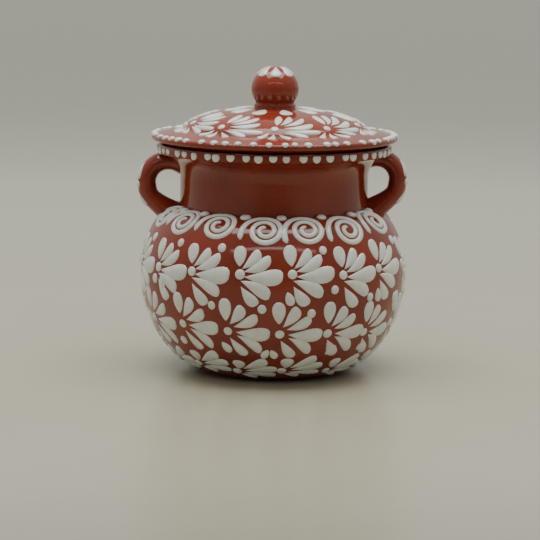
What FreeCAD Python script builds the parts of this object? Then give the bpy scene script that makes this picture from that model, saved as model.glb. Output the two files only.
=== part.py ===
import FreeCAD, Part
import math
import os

Vector = FreeCAD.Vector

# A lidded clay bean pot, +Z up, its base centred on the origin, handles along X.
# All sizes are in millimetres and all angles in degrees.

# Pot body, thrown in one piece
BASE_RADIUS = 54.0
BELLY_RADIUS = 100.3
BELLY_HEIGHT = 77.0          # level of the widest ring
BELLY_SIDE = 62.3            # radial reach of the rounded side
SHOULDER_INSET = 8.9         # from the widest ring in to where the shoulder starts
SHOULDER_RISE = 33.0         # from the widest ring up to that start
SHOULDER_ROUNDING = 9.0      # pull of the shoulder's curve at each of its ends
SHOULDER_SLOPE = 0.12        # slope of the shoulder where the neck stands on it
SHOULDER_LIFT = 14.0         # from the shoulder's start up to the neck's foot
NECK_RADIUS = 71.0
NECK_LENGTH = 26.0           # straight part
FLARE_WIDTH = 16.6           # how far the rim stands out from the neck
FLARE_LENGTH = 14.6
FLARE_ROUNDING = 9.0
FLARE_SLOPE = 0.14
RIM_BAND = 6.7               # height of the upright band round the rim
LIP_WIDTH = 8.6              # flat top of the rim, from the band in to the mouth
MOUTH_DEPTH = 7.5            # depth of the upright wall inside the mouth
WALL = 6.0
FLOOR = 7.0

# Handles, pulled straps luted to the flare and the shoulder
STRAP_OVERHANG = 14.4        # outermost point beyond the rim
STRAP_LIFT = 16.1            # level of that point above the neck's foot
STRAP_THICKNESS = 13.2
STRAP_WIDTH = 19.0
STRAP_UPPER_BEND = 18.6
STRAP_LOWER_BEND = 14.0
STRAP_UPPER_TURN = 112.0     # from the outermost point up into the flare
STRAP_LOWER_TURN = 45.0      # from the outermost point down to the straight limb
STRAP_LIMB = 16.0            # straight limb, running on into the shoulder

# Lid, thrown in one piece
LID_OVERHANG = 5.2           # beyond the rim
LID_EDGE_THICKNESS = 4.6
LID_EDGE_GAP = 2.6           # lower corner of the edge above the pot's rim
LID_BRIM = 23.0              # from the edge in to where the dome starts
LID_BRIM_RISE = 4.1          # rise of the brim over that width
LID_DOME_RISE = 15.8         # from there up to the crown
LID_DOME_FLATNESS = 0.55     # share of the dome's radius that the crown's curve is pulled out
LID_DOME_LEAN = 5.0          # the dome's side leans in by this
LID_DOME_PULL = 9.0          # over this height
LID_WALL = 6.0
LID_SEAT_WIDTH = 5.0         # flat ring that rests on the rim, measured from the mouth
LID_FLANGE_CLEARANCE = 2.5   # between the locating flange and the mouth
LID_FLANGE_DEPTH = 5.5
LID_FLANGE_WALL = 5.0

# Knob, turned on its own and luted to the lid
KNOB_RADIUS = 17.9
KNOB_LIFT = 13.9             # level of its widest ring above the lid's crown
KNOB_CROWN = 17.0            # top of the ball above that ring
KNOB_COLLAR_INSET = 3.2
KNOB_RING_WIDTH = 1.1        # how far the foot ring stands out from the collar
KNOB_RING_LIFT = 2.6         # top of the foot ring above the lid's crown

# White slip, trailed on the leather-hard clay
RELIEF = 1.0                 # height of a petal or a line of slip
DOT_RELIEF = 1.4             # height of a dot at its middle
RIM_BEAD_RADIUS = 2.9
RIM_BEAD_COUNT = 52
LID_BEAD_RADIUS = 2.8
LID_BEAD_COUNT = 54
LID_BEAD_TILT = 40.0         # beads face this far out from straight up
SPIRAL_COUNT = 16
SPIRAL_INSET = 15.5          # from the neck's side out to a spiral's centre
SPIRAL_TURNS = 2.36
SPIRAL_CORE = 1.6            # from its centre to the line's inner end
SPIRAL_COIL = 11.8           # added by the winding, from the inner end to the outer
SPIRAL_EASE = 0.45           # the winding is this much wider at the inner end than if even
SPIRAL_FLARE = 4.6           # added again where the outer end is thrown out
SPIRAL_FLARE_POWER = 11.0
SPIRAL_LINE = 3.8            # width of the trailed line
SPIRAL_HOLLOW = 0.66         # share of half the line's width that lies inside its course
SPIRAL_TAIL = 209.0          # where the outer end lies, seen from outside
SPIRAL_PHASE = 265.5         # azimuth of one spiral's centre
NECK_DOT_RADIUS = 3.1
NECK_DOT_INSET = 3.9         # from the neck's side to the middle of a dot
NECK_DOT_LEAD = 10.2         # from a spiral's centre to the dot at its right
FAN_DOT_RADIUS = 3.3
# One fan, drawn flat about its dot: each petal's tip, its round end and its width
FAN_PETALS = (
    ((-0.5, 7.0), (-1.0, 22.4), 9.0),
    ((1.5, 5.2), (12.2, 18.8), 7.8),
    ((4.2, 3.4), (21.5, 12.6), 8.4),
    ((5.2, -0.8), (31.5, 0.0), 11.6),
    ((3.4, -4.6), (22.0, -16.6), 8.8),
    ((0.4, -7.4), (9.6, -21.6), 8.4),
)
UPPER_FAN_COUNT = 16
UPPER_FAN_LIFT = 8.4         # centre above the belly's widest ring
UPPER_FAN_PHASE = 255.7
UPPER_FAN_SCALE = 1.0
MIDDLE_FAN_COUNT = 16
MIDDLE_FAN_DROP = 34.2       # centre below the belly's widest ring
MIDDLE_FAN_PHASE = 271.8
MIDDLE_FAN_SCALE = 0.98
LOWER_FAN_COUNT = 14
LOWER_FAN_HEIGHT = 11.5      # centre above the base
LOWER_FAN_PHASE = 275.3
LOWER_FAN_SCALE = 0.9
LOWER_FAN_PETALS = (
    ((0.6, 6.4), (2.2, 16.4), 8.6),
    ((3.8, 5.0), (15.0, 14.8), 8.8),
    ((6.6, 2.2), (28.2, 8.4), 9.2),
    ((6.8, -1.8), (26.8, -5.0), 7.6),
    ((2.8, -5.2), (11.0, -12.0), 6.4),
)
FILL_DOT_RADIUS = 3.2
UPPER_FILL_LIFT = 26.4       # dots below the spirals, above the widest ring
UPPER_FILL_PHASE = 247.0
MIDDLE_FILL_DROP = 17.0
MIDDLE_FILL_PHASE = 242.7
LOWER_FILL_DROP = 48.5
LOWER_FILL_PHASE = 268.8
STRAY_DOTS = ((275.5, 9.0), (296.5, 3.0))   # azimuth and drop below the widest ring
LID_FAN_COUNT = 10
LID_FAN_RING = 64.0
LID_FAN_PHASE = 270.0
LID_FAN_DOT_RADIUS = 2.6
LID_FAN_PETALS = (
    ((1.6, 6.6), (5.0, 20.5), 7.4),
    ((4.8, 5.2), (16.4, 17.4), 7.2),
    ((6.6, 2.6), (26.0, 8.6), 7.6),
    ((6.8, -1.2), (31.0, -2.4), 5.6),
    ((5.2, -4.2), (18.6, -8.0), 4.8),
    ((1.6, -6.2), (5.6, -13.4), 5.0),
    ((-3.0, -6.0), (-8.0, -12.0), 4.8),
)
CROWN_COUNT = 10             # plain petals round the knob's foot
CROWN_RING = 19.5            # from the axis to each petal's tip
CROWN_LENGTH = 17.0
CROWN_WIDTH = 8.4
KNOB_RELIEF = 0.8
KNOB_PETAL_COUNT = 7
KNOB_PETAL_START = 2.6       # from the knob's top to the tip of each petal
KNOB_PETAL_LENGTH = 14.5
KNOB_PETAL_WIDTH = 7.0
STRAP_PETAL_START = 4.5      # from the strap's middle dot to each petal
STRAP_PETAL_LENGTH = 13.0
STRAP_PETAL_WIDTH = 6.5
STRAP_DOT_RADIUS = 2.7
MARK_DEPTH = 14.0            # how far a mark's flat drawing is pushed into the clay
SMALL_MARK_DEPTH = 6.0       # the same on the straps and the knob
MARK_HEIGHT = 5.0            # and out of it
MARK_GAP = 1.0               # least space between a mark and a strap's root

# Levels and radii that follow from these
SHOULDER_RADIUS = BELLY_RADIUS - SHOULDER_INSET
SHOULDER_HEIGHT = BELLY_HEIGHT + SHOULDER_RISE
NECK_FOOT_HEIGHT = SHOULDER_HEIGHT + SHOULDER_LIFT
NECK_TOP_HEIGHT = NECK_FOOT_HEIGHT + NECK_LENGTH
BAND_FOOT_HEIGHT = NECK_TOP_HEIGHT + FLARE_LENGTH
RIM_HEIGHT = BAND_FOOT_HEIGHT + RIM_BAND
RIM_RADIUS = NECK_RADIUS + FLARE_WIDTH
MOUTH_RADIUS = RIM_RADIUS - LIP_WIDTH
BELLY_CORE_RADIUS = BELLY_RADIUS - BELLY_SIDE
BELLY_DEPTH = BELLY_HEIGHT / math.sqrt(1 - ((BASE_RADIUS - BELLY_CORE_RADIUS) / BELLY_SIDE) ** 2)
SHOULDER_ANGLE = math.acos((SHOULDER_RADIUS - BELLY_CORE_RADIUS) / BELLY_SIDE)
BELLY_RISE = SHOULDER_RISE / math.sin(SHOULDER_ANGLE)
STRAP_REACH = RIM_RADIUS + STRAP_OVERHANG
STRAP_HEIGHT = NECK_FOOT_HEIGHT + STRAP_LIFT
LID_RADIUS = RIM_RADIUS + LID_OVERHANG
LID_EDGE_BOTTOM = RIM_HEIGHT + LID_EDGE_GAP
LID_EDGE_TOP = LID_EDGE_BOTTOM + LID_EDGE_THICKNESS
LID_CORNER_RADIUS = LID_RADIUS - LID_EDGE_THICKNESS / 2
LID_BREAK_RADIUS = LID_RADIUS - LID_BRIM
LID_BREAK_HEIGHT = LID_EDGE_TOP + LID_BRIM_RISE
LID_APEX_HEIGHT = LID_BREAK_HEIGHT + LID_DOME_RISE
FLANGE_RADIUS = MOUTH_RADIUS - LID_FLANGE_CLEARANCE
FLANGE_FOOT = RIM_HEIGHT - LID_FLANGE_DEPTH
KNOB_HEIGHT = LID_APEX_HEIGHT + KNOB_LIFT
KNOB_COLLAR_RADIUS = KNOB_RADIUS - KNOB_COLLAR_INSET
KNOB_RING_RADIUS = KNOB_COLLAR_RADIUS + KNOB_RING_WIDTH
KNOB_RING_TOP = LID_APEX_HEIGHT + KNOB_RING_LIFT


# ---- Outlines, drawn in the XZ plane as half sections ----

def point(radius, height):
    return Vector(radius, 0, height)


def line(start, end):
    return Part.LineSegment(start, end).toShape()


def bezier(*poles):
    curve = Part.BezierCurve()
    curve.setPoles(list(poles))
    return curve.toShape()


def oval_arc(core, level, semi_radius, semi_height, first, last, steps=12):
    """Part of an ellipse, from the angle first to the angle last in radians."""
    angles = [first + (last - first) * i / steps for i in range(steps + 1)]
    curve = Part.BSplineCurve()
    curve.interpolate([point(core + semi_radius * math.cos(a), level + semi_height * math.sin(a))
                       for a in angles])
    return curve.toShape()


def turned(edges):
    """Solid turned about Z from edges that run from axis to axis, with its seam at -X.

    Handles and slip marks are made at +X, so the seam doesn't run through them.
    """
    wire = Part.Wire(edges)
    closing = line(wire.OrderedVertexes[-1].Point, wire.OrderedVertexes[0].Point)
    face = Part.Face(Part.Wire(edges + [closing]))
    face.rotate(Vector(0, 0, 0), Vector(0, 0, 1), 180)
    return face.revolve(Vector(0, 0, 0), Vector(0, 0, 1), 360)


def wall_curves(offset, bottom):
    """Edges of the pot's side from the level bottom up to the neck's top.

    offset moves them outwards: 0 is the outside, -WALL the inside and RELIEF the slip's top.
    """
    side = BELLY_SIDE + offset
    depth = BELLY_DEPTH + offset
    rise = BELLY_RISE + offset
    bottom_angle = -math.asin((BELLY_HEIGHT - bottom) / depth)
    shoulder = point(BELLY_CORE_RADIUS + side * math.cos(SHOULDER_ANGLE),
                     BELLY_HEIGHT + rise * math.sin(SHOULDER_ANGLE))
    tangent = point(-side * math.sin(SHOULDER_ANGLE), rise * math.cos(SHOULDER_ANGLE)).normalize()
    neck_foot = point(NECK_RADIUS + offset, NECK_FOOT_HEIGHT + offset)
    neck_top = point(NECK_RADIUS + offset, NECK_TOP_HEIGHT)
    return [
        oval_arc(BELLY_CORE_RADIUS, BELLY_HEIGHT, side, depth, bottom_angle, 0),
        oval_arc(BELLY_CORE_RADIUS, BELLY_HEIGHT, side, rise, 0, SHOULDER_ANGLE),
        bezier(shoulder, shoulder + tangent * SHOULDER_ROUNDING,
               neck_foot + point(SHOULDER_ROUNDING, -SHOULDER_SLOPE * SHOULDER_ROUNDING), neck_foot),
        line(neck_foot, neck_top),
    ]


def pot_envelope(offset=0.0):
    """The pot as a full solid with no hollow, grown by offset."""
    side = wall_curves(offset, 0.0)
    foot = side[0].Vertexes[0].Point
    neck_top = point(NECK_RADIUS + offset, NECK_TOP_HEIGHT)
    band_foot = point(RIM_RADIUS + offset, BAND_FOOT_HEIGHT)
    band_top = point(RIM_RADIUS + offset, RIM_HEIGHT)
    flare = bezier(neck_top, neck_top + point(0, FLARE_ROUNDING),
                   band_foot - point(FLARE_ROUNDING, FLARE_SLOPE * FLARE_ROUNDING), band_foot)
    return turned([line(point(0, 0), foot)] + side
                  + [flare, line(band_foot, band_top), line(band_top, point(0, RIM_HEIGHT))])


def pot_hollow():
    side = wall_curves(-WALL, FLOOR)
    floor_edge = side[0].Vertexes[0].Point
    neck_top = point(NECK_RADIUS - WALL, NECK_TOP_HEIGHT)
    mouth_foot = point(MOUTH_RADIUS, RIM_HEIGHT - MOUTH_DEPTH)
    mouth_top = point(MOUTH_RADIUS, RIM_HEIGHT)
    flare = bezier(neck_top, neck_top + point(0, FLARE_ROUNDING),
                   mouth_foot - point(0, FLARE_ROUNDING / 2), mouth_foot)
    return turned([line(point(0, FLOOR), floor_edge)] + side
                  + [flare, line(mouth_foot, mouth_top), line(mouth_top, point(0, RIM_HEIGHT))])


def lid_top_curves(offset=0.0):
    """Edges of the lid's upper side, from the axis out to the edge, raised by offset."""
    apex = point(0, LID_APEX_HEIGHT + offset)
    brk = point(LID_BREAK_RADIUS + offset, LID_BREAK_HEIGHT + offset)
    brim = point(LID_CORNER_RADIUS, LID_EDGE_TOP + offset)
    return [
        bezier(apex, apex + point(LID_DOME_FLATNESS * LID_BREAK_RADIUS, 0),
               brk + point(-LID_DOME_LEAN, LID_DOME_PULL), brk),
        line(brk, brim),
    ]


def lid_envelope(offset=0.0):
    """The lid down to the level of its seat, with no hollow."""
    top = lid_top_curves(offset)
    brim = top[-1].Vertexes[-1].Point
    edge_foot = point(LID_CORNER_RADIUS, LID_EDGE_BOTTOM)
    nose = point(LID_EDGE_THICKNESS * 2 / 3, 0)
    edge = bezier(brim, brim + nose, edge_foot + nose, edge_foot)
    seat = point(MOUTH_RADIUS + LID_SEAT_WIDTH, RIM_HEIGHT)
    return turned(top + [edge, line(edge_foot, seat), line(seat, point(0, RIM_HEIGHT))])


def lid_plate():
    flange = Part.makeCylinder(FLANGE_RADIUS, LID_FLANGE_DEPTH, point(0, FLANGE_FOOT))
    body = lid_envelope().fuse(flange).removeSplitter()
    bore = FLANGE_RADIUS - LID_FLANGE_WALL
    roof = point(0, LID_APEX_HEIGHT - LID_WALL)
    spring = point(bore, RIM_HEIGHT)
    mouth = point(bore, FLANGE_FOOT)
    hollow = turned([
        bezier(roof, roof + point(LID_DOME_FLATNESS * LID_BREAK_RADIUS, 0),
               spring + point(-LID_WALL, LID_DOME_PULL), spring),
        line(spring, mouth),
        line(mouth, point(0, FLANGE_FOOT)),
    ])
    return body.cut(hollow)


def knob_envelope(offset=0.0):
    """Ball, collar and foot ring, running down inside the lid's dome."""
    radius = KNOB_RADIUS + offset
    crown = KNOB_CROWN + offset
    collar_angle = -math.acos(KNOB_COLLAR_RADIUS / KNOB_RADIUS)
    waist = point(KNOB_COLLAR_RADIUS + offset, KNOB_RING_TOP)
    ring = point(KNOB_RING_RADIUS + offset, KNOB_RING_TOP)
    foot = point(KNOB_RING_RADIUS + offset, LID_APEX_HEIGHT - LID_WALL)
    ball = oval_arc(0, KNOB_HEIGHT, radius, crown, math.pi / 2, collar_angle)
    return turned([ball, line(ball.Vertexes[-1].Point, waist), line(waist, ring), line(ring, foot),
                   line(foot, point(0, LID_APEX_HEIGHT - LID_WALL))])


# ---- Handles ----

def strap_blank(offset=0.0):
    """One strap at +X, before it is trimmed to the pot."""
    middle = STRAP_REACH - STRAP_THICKNESS / 2
    half_thick = STRAP_THICKNESS / 2 + offset
    half_wide = STRAP_WIDTH / 2 + offset
    if half_wide > half_thick:
        ellipse = Part.Ellipse(Vector(middle, half_wide, STRAP_HEIGHT),
                               Vector(middle + half_thick, 0, STRAP_HEIGHT),
                               Vector(middle, 0, STRAP_HEIGHT))
    else:
        ellipse = Part.Ellipse(Vector(middle + half_thick, 0, STRAP_HEIGHT),
                               Vector(middle, half_wide, STRAP_HEIGHT),
                               Vector(middle, 0, STRAP_HEIGHT))
    section = Part.Face(Part.Wire([ellipse.toShape()]))
    across = Vector(0, 1, 0)
    upper_centre = point(middle - STRAP_UPPER_BEND, STRAP_HEIGHT)
    lower_centre = point(middle - STRAP_LOWER_BEND, STRAP_HEIGHT)
    upper = section.revolve(upper_centre, across, -STRAP_UPPER_TURN)
    lower = section.revolve(lower_centre, across, STRAP_LOWER_TURN)
    end = section.copy()
    end.rotate(lower_centre, across, STRAP_LOWER_TURN)
    turn = math.radians(STRAP_LOWER_TURN)
    limb = end.extrude(point(-math.sin(turn), -math.cos(turn)) * STRAP_LIMB)
    return upper.fuse([lower, limb]).removeSplitter()


# ---- Slip marks: flat shapes pressed through a thin skin over the clay ----

def petal_face(tip, end, width):
    """Flat petal, pointed at its tip and round at its end."""
    run = Vector(end[0] - tip[0], end[1] - tip[1], 0)
    head = width / 2
    reach = run.Length - head
    lean = math.acos(head / reach)
    touch = Vector(reach - head * math.cos(lean), head * math.sin(lean), 0)
    other = Vector(touch.x, -touch.y, 0)
    start = Vector(0, 0, 0)
    arc = Part.Arc(touch, Vector(run.Length, 0, 0), other).toShape()
    face = Part.Face(Part.Wire([line(start, touch), arc, line(other, start)]))
    face.rotate(start, Vector(0, 0, 1), math.degrees(math.atan2(run.y, run.x)))
    face.translate(Vector(tip[0], tip[1], 0))
    return face


def meridian_petal(length, width):
    """Flat petal about the middle of its own length, its tip at the upper end."""
    return petal_face((0, length / 2), (0, -length / 2), width)


def fan_faces(petals, scale=1.0):
    return [petal_face([v * scale for v in tip], [v * scale for v in end], width * scale)
            for tip, end, width in petals]


def spiral_band():
    """Flat line that winds clockwise from its tail in to the middle."""
    steps = round(16 * SPIRAL_TURNS)   # points along one edge of the line

    def side(shift):
        points = []
        for i in range(steps + 1):
            share = i / steps
            angle = math.radians(SPIRAL_TAIL) - 2 * math.pi * SPIRAL_TURNS * (1 - share)
            reach = (SPIRAL_CORE + SPIRAL_COIL * share * (1 + SPIRAL_EASE * (1 - share))
                     + SPIRAL_FLARE * share ** SPIRAL_FLARE_POWER + shift)
            points.append(Vector(reach * math.cos(angle), reach * math.sin(angle), 0))
        curve = Part.BSplineCurve()
        curve.interpolate(points)
        return curve.toShape(), points[0], points[-1]

    inner, inner_start, inner_end = side(-SPIRAL_HOLLOW * SPIRAL_LINE / 2)
    outer, outer_start, outer_end = side(SPIRAL_LINE / 2)
    return Part.Face(Part.Wire([inner, line(inner_end, outer_end), outer,
                                line(outer_start, inner_start)]))


def found_on(curve, wanted, measure):
    """Point and tangent where measure(point), which grows along the curve, is wanted."""
    first, last = curve.FirstParameter, curve.LastParameter
    for _ in range(50):
        middle = (first + last) / 2
        if measure(curve.valueAt(middle)) < wanted:
            first = middle
        else:
            last = middle
    return curve.valueAt(middle), curve.tangentAt(middle)


def place_on_side(height):
    """Point and outward normal of the pot's side at a level."""
    curve = [c for c in wall_curves(0.0, 0.0) if c.Vertexes[-1].Point.z >= height][0]
    spot, tangent = found_on(curve, height, lambda p: p.z)
    return spot, Vector(tangent.z, 0, -tangent.x)


def place_on_shoulder(inset):
    """Point and outward normal of the shoulder at a distance out from the neck's side."""
    spot, tangent = found_on(wall_curves(0.0, 0.0)[2], -(NECK_RADIUS + inset), lambda p: -p.x)
    return spot, Vector(tangent.z, 0, -tangent.x)


def place_on_lid(ring):
    """Point and upward normal of the lid's upper side at a distance from its axis."""
    curve = [c for c in lid_top_curves() if c.Vertexes[-1].Point.x >= ring][0]
    spot, tangent = found_on(curve, ring, lambda p: p.x)
    return spot, Vector(-tangent.z, 0, tangent.x)


def place_on_knob(distance):
    """Point and outward normal of the ball, a distance down from its top."""
    angle = distance / KNOB_RADIUS
    spot = point(KNOB_RADIUS * math.sin(angle), KNOB_HEIGHT + KNOB_CROWN * math.cos(angle))
    return spot, point(math.sin(angle) / KNOB_RADIUS, math.cos(angle) / KNOB_CROWN).normalize()


def place_on_strap(distance):
    """Point and outward normal of the strap's back, a distance up from its outermost point."""
    bend = STRAP_UPPER_BEND if distance > 0 else STRAP_LOWER_BEND
    angle = distance / (bend + STRAP_THICKNESS / 2)
    normal = point(math.cos(angle), math.sin(angle))
    centre = point(STRAP_REACH - STRAP_THICKNESS / 2 - bend, STRAP_HEIGHT)
    return centre + normal * (bend + STRAP_THICKNESS / 2), normal


def pressed(faces, spot, normal, skin, depth=MARK_DEPTH):
    """Slip marks where flat shapes, laid at the spot square to its normal, cut the skin.

    The drawing's +X then runs round the pot and its +Y up the meridian.
    """
    up = normal.cross(Vector(0, 1, 0))
    frame = FreeCAD.Placement(FreeCAD.Matrix(0, up.x, normal.x, spot.x,
                                             1, up.y, normal.y, spot.y,
                                             0, up.z, normal.z, spot.z,
                                             0, 0, 0, 1))
    marks = []
    for face in faces:
        face.translate(Vector(0, 0, -depth))
        tool = face.extrude(Vector(0, 0, depth + MARK_HEIGHT))
        tool.Placement = frame.multiply(tool.Placement)
        marks += tool.common(skin).Solids
    return marks


def dot(spot, normal, radius, body):
    """Raised round dot, the cap of a ball that is sunk in the clay."""
    ball = (radius ** 2 + DOT_RELIEF ** 2) / (2 * DOT_RELIEF)
    return [largest(Part.makeSphere(ball, spot + normal * (DOT_RELIEF - ball)).cut(body))]


def ring_of(marks, count, phase, free=0.0):
    """Copies of marks made at azimuth 0, turned about Z to evenly spaced places.

    No copy stands within the angle free of a handle.
    """
    copies = []
    for i in range(count):
        azimuth = phase + 360.0 * i / count
        if abs((azimuth + 90) % 180 - 90) < free:
            continue
        for mark in marks:
            copy = mark.copy()
            copy.rotate(Vector(0, 0, 0), Vector(0, 0, 1), azimuth)
            copies.append(copy)
    return copies


def strap_sector(half_width, radius):
    """Angle from a handle's middle that a mark needs to stand clear of the strap's root."""
    return math.degrees((STRAP_WIDTH / 2 + half_width + MARK_GAP) / radius)


def largest(shape):
    return max(shape.Solids, key=lambda solid: solid.Volume)


def export(name, solids):
    shape = solids[0] if len(solids) == 1 else Part.makeCompound(solids)
    shape.exportStep("parts/" + name + ".step")


# ---- Build ----

os.makedirs("parts", exist_ok=True)

envelope = pot_envelope()
export("pot_body", [envelope.cut(pot_hollow())])

strap = largest(strap_blank().cut(envelope))
opposite = strap.copy()
opposite.rotate(Vector(0, 0, 0), Vector(0, 0, 1), 180)
export("handle_right", [strap])
export("handle_left", [opposite])

lid_body = lid_envelope()
knob_body = knob_envelope()
export("lid_plate", [lid_plate()])
export("lid_knob", [largest(knob_body.cut(lid_body))])

# Slip on the pot
band_middle = point(RIM_RADIUS, RIM_HEIGHT - RIM_BAND / 2)
rim_bead = dot(band_middle, Vector(1, 0, 0), RIM_BEAD_RADIUS, envelope)
export("rim_beads", ring_of(rim_bead, RIM_BEAD_COUNT, 0))

skin = pot_envelope(RELIEF).cut(envelope)
spiral = pressed([spiral_band()], *place_on_shoulder(SPIRAL_INSET), skin)
coil_half = SPIRAL_CORE + SPIRAL_COIL + SPIRAL_LINE / 2   # the flared end runs below the straps
spiral_sector = strap_sector(coil_half, NECK_RADIUS + SPIRAL_INSET)
export("shoulder_spirals", ring_of(spiral, SPIRAL_COUNT, SPIRAL_PHASE, spiral_sector))

neck_dot = dot(*place_on_shoulder(NECK_DOT_INSET), NECK_DOT_RADIUS, envelope)
export("neck_dots", ring_of(neck_dot, SPIRAL_COUNT, SPIRAL_PHASE + NECK_DOT_LEAD,
                            strap_sector(NECK_DOT_RADIUS, NECK_RADIUS + NECK_DOT_INSET)))

for name, level, phase, petals, scale, count in (
        ("upper", BELLY_HEIGHT + UPPER_FAN_LIFT, UPPER_FAN_PHASE, FAN_PETALS, UPPER_FAN_SCALE,
         UPPER_FAN_COUNT),
        ("middle", BELLY_HEIGHT - MIDDLE_FAN_DROP, MIDDLE_FAN_PHASE, FAN_PETALS, MIDDLE_FAN_SCALE,
         MIDDLE_FAN_COUNT),
        ("lower", LOWER_FAN_HEIGHT, LOWER_FAN_PHASE, LOWER_FAN_PETALS, LOWER_FAN_SCALE,
         LOWER_FAN_COUNT)):
    spot, normal = place_on_side(level)
    fan = pressed(fan_faces(petals, scale), spot, normal, skin)
    fan += dot(spot, normal, FAN_DOT_RADIUS * scale, envelope)
    export("belly_flowers_" + name, ring_of(fan, count, phase))

fill_dots = []
for level, phase, count in (
        (BELLY_HEIGHT + UPPER_FILL_LIFT, UPPER_FILL_PHASE, UPPER_FAN_COUNT),
        (BELLY_HEIGHT - MIDDLE_FILL_DROP, MIDDLE_FILL_PHASE, MIDDLE_FAN_COUNT),
        (BELLY_HEIGHT - LOWER_FILL_DROP, LOWER_FILL_PHASE, MIDDLE_FAN_COUNT)):
    fill_dots += ring_of(dot(*place_on_side(level), FILL_DOT_RADIUS, envelope), count, phase)
for azimuth, drop in STRAY_DOTS:
    stray = dot(*place_on_side(BELLY_HEIGHT - drop), FILL_DOT_RADIUS, envelope)
    fill_dots += ring_of(stray, 1, azimuth)
export("belly_dots", fill_dots)

# Slip on the handles
strap_skin = strap_blank(RELIEF).cut(strap_blank()).cut(envelope)
handle_marks = dot(*place_on_strap(0.0), STRAP_DOT_RADIUS, strap_blank())
for direction in (1, -1):
    middle = direction * (STRAP_PETAL_START + STRAP_PETAL_LENGTH / 2)
    handle_marks += pressed([meridian_petal(STRAP_PETAL_LENGTH, STRAP_PETAL_WIDTH)],
                            *place_on_strap(middle), strap_skin, SMALL_MARK_DEPTH)
export("handle_petals", ring_of(handle_marks, 2, 0))

# Slip on the lid
tilt = math.radians(LID_BEAD_TILT)
lid_bead = dot(point(LID_CORNER_RADIUS, LID_EDGE_TOP), point(math.sin(tilt), math.cos(tilt)),
               LID_BEAD_RADIUS, lid_body)
export("lid_edge_beads", ring_of(lid_bead, LID_BEAD_COUNT, 0))

lid_skin = lid_envelope(RELIEF).cut(lid_body)
spot, normal = place_on_lid(LID_FAN_RING)
fan = pressed(fan_faces(LID_FAN_PETALS), spot, normal, lid_skin)
fan += dot(spot, normal, LID_FAN_DOT_RADIUS, lid_body)
export("lid_flowers", ring_of(fan, LID_FAN_COUNT, LID_FAN_PHASE))

crown = pressed([meridian_petal(CROWN_LENGTH, CROWN_WIDTH)],
                *place_on_lid(CROWN_RING + CROWN_LENGTH / 2), lid_skin)
export("lid_crown_petals", ring_of(crown, CROWN_COUNT, LID_FAN_PHASE))

knob_skin = knob_envelope(KNOB_RELIEF).cut(knob_body)
knob_mark = pressed([meridian_petal(KNOB_PETAL_LENGTH, KNOB_PETAL_WIDTH)],
                    *place_on_knob(KNOB_PETAL_START + KNOB_PETAL_LENGTH / 2), knob_skin,
                    SMALL_MARK_DEPTH)
export("knob_petals", ring_of(knob_mark, KNOB_PETAL_COUNT, LID_FAN_PHASE))
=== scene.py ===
import math
import random

import bmesh
import bpy
from mathutils import Matrix, Vector


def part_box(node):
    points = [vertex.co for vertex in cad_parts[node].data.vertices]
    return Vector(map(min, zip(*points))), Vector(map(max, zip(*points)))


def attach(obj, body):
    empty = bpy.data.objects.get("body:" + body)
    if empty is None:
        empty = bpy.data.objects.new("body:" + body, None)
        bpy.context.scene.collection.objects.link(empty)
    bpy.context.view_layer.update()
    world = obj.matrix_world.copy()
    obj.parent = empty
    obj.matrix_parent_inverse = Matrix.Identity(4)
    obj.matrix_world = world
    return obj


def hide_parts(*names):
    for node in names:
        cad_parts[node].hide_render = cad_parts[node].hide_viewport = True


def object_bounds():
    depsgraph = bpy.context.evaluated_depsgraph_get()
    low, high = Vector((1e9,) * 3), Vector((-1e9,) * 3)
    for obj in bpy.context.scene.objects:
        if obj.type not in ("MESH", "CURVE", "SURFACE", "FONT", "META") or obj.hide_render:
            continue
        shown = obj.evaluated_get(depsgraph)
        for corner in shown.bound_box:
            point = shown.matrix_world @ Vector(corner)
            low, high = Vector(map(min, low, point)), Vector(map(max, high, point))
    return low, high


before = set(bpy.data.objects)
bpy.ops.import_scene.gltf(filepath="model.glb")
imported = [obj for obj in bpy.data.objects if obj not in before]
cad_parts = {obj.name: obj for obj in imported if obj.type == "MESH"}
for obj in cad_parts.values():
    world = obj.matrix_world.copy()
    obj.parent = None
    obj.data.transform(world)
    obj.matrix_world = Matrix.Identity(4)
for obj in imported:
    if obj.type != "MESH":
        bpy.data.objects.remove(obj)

# A lidded clay bean pot with trailed white slip, in metres, standing on the floor at the origin.
# The sections follow the pot as it is put together: the room it stands in, the thrown body,
# the pulled handles, the lid and its knob, and then the slip that is trailed over all of them.

cad_box = [list(corner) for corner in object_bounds()]
MM = 0.001


# ---- Room -------------------------------------------------------------------------------
# A plain pale table top that runs out of sight, under a wide soft box and a narrow strip of light.
# Its colour carries painted light, a little darker near the pot and brightest about a metre out,
# and a patch of painted shade in front that the neck's glaze mirrors. None of it is part of the pot.

camera_distance = 1656.5 * MM
camera_height = 324.2 * MM
camera_side = -2.3 * MM
camera_dip = math.radians(8.57)
camera_roll = math.radians(0.65)
camera_lens = 146.7


def put_in_scene(name, data):
    """A new object that holds the data, linked to the scene."""
    thing = bpy.data.objects.new(name, data)
    bpy.context.scene.collection.objects.link(thing)
    return thing


camera_data = bpy.data.cameras.new("camera")
camera_data.lens = camera_lens
camera_data.sensor_width = 36.0
camera_data.clip_end = 60.0
camera = put_in_scene("camera", camera_data)
camera.location = (camera_side, -camera_distance, camera_height)
camera.rotation_euler = (
    Matrix.Rotation(math.pi / 2 - camera_dip, 4, "X") @ Matrix.Rotation(camera_roll, 4, "Z")
).to_euler()
bpy.context.scene.camera = camera


def connect(node, inputs):
    """Gives inputs of a node their values: plain ones, or links from another node's outputs."""
    for socket, value in inputs.items():
        if isinstance(value, bpy.types.NodeSocket):
            node.id_data.links.new(value, node.inputs[socket])
        else:
            node.inputs[socket].default_value = value
    return node


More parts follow.
